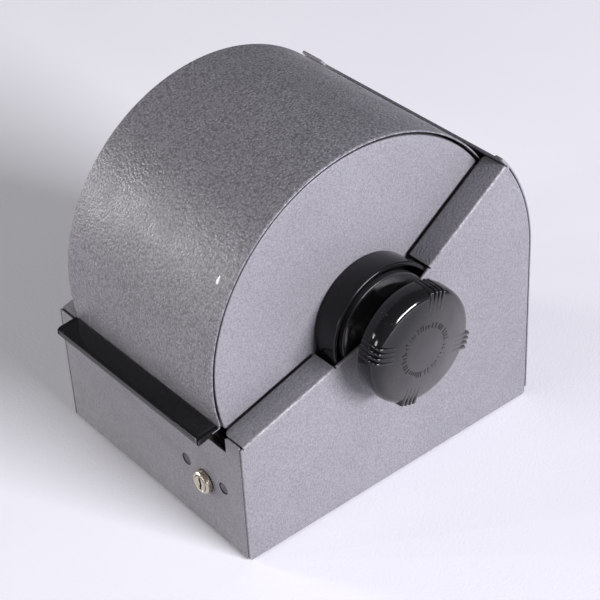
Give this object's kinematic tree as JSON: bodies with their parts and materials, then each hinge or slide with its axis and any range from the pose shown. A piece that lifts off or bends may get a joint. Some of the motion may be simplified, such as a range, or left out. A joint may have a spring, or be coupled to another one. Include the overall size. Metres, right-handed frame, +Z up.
{
  "type": "rotary card file",
  "caption": "Desk-top rotary card file: sheet-steel base, wheel of index cards on a through axle with ribbed end knobs, roll-back drum cover with a pull strip, and a cover lock.",
  "frame": {"origin": "on the table, below the middle of the object's box", "axes": "+Z up, +X along the drum axis towards the right-hand knob, -Y towards the front panel and the pull strip"},
  "size_m": [0.203, 0.2006, 0.1894],
  "materials": {
    "enamel": "stippled grey baked enamel with a soft satin gloss",
    "phenolic": "polished black moulded phenolic",
    "nylon": "plain moulded",
    "rubber": "matt black",
    "lock_brass": "nickel-washed brass, satin with worn edges",
    "zinc_plate": "zinc plated, satin",
    "dark_steel": "dark oxide",
    "steel": "drawn, satin",
    "card_stock": "uncoated off-white card",
    "guide_stock": "buff index board"
  },
  "bodies": {
    "base": {"wrapper_panel": "enamel", "right_side_panel": "enamel", "left_side_panel": "enamel", "right_bearing_saddle": "nylon", "left_bearing_saddle": "nylon", "rubber_foot_1": "rubber", "rubber_foot_2": "rubber", "rubber_foot_3": "rubber", "rubber_foot_4": "rubber", "cover_buffer_1": "rubber", "cover_buffer_2": "rubber", "lock_housing": "lock_brass", "lock_plate": "zinc_plate", "lock_rivet_1": "dark_steel", "lock_rivet_2": "dark_steel", "lock_nut": "zinc_plate"},
    "wheel": {"axle": "steel", "core_drum": "zinc_plate", "right_knob": "phenolic", "left_knob": "phenolic", "right_knob_screw": "dark_steel", "left_knob_screw": "dark_steel", "right_rail": "steel", "left_rail": "steel", "right_hub": "nylon", "left_hub": "nylon", "right_spacer": "steel", "left_spacer": "steel", "card_pack_1": "card_stock", "card_pack_2": "card_stock", "card_pack_3": "card_stock", "card_pack_4": "card_stock", "card_pack_5": "card_stock", "card_pack_6": "card_stock", "card_pack_7": "card_stock", "card_pack_8": "card_stock", "guide_card_1": "guide_stock", "guide_card_2": "guide_stock", "guide_card_3": "guide_stock", "guide_card_4": "guide_stock", "guide_card_5": "guide_stock", "guide_card_6": "guide_stock", "guide_card_7": "guide_stock", "guide_card_8": "guide_stock"},
    "cover": {"cover_shell": "enamel", "right_end_disc": "enamel", "left_end_disc": "enamel", "right_collar": "phenolic", "left_collar": "phenolic", "handle_strip": "phenolic", "lock_catch": "zinc_plate"},
    "lock": {"lock_plug": "lock_brass", "lock_cam": "zinc_plate", "cam_screw": "dark_steel"}
  },
  "joints": [
    {"name": "cover_hinge", "type": "hinge", "parent": "base", "child": "cover", "pos_m": [0, 0.00335, 0.0961], "axis": [-1, 0, 0], "range_deg": [0, 156]},
    {"name": "wheel_spin", "type": "hinge", "parent": "base", "child": "wheel", "pos_m": [0, 0.00335, 0.0961], "axis": [1, 0, 0], "continuous": true},
    {"name": "lock_turn", "type": "hinge", "parent": "base", "child": "lock", "pos_m": [0.043, -0.088, 0.0318], "axis": [0, 1, 0], "range_deg": [0, 90]}
  ]
}
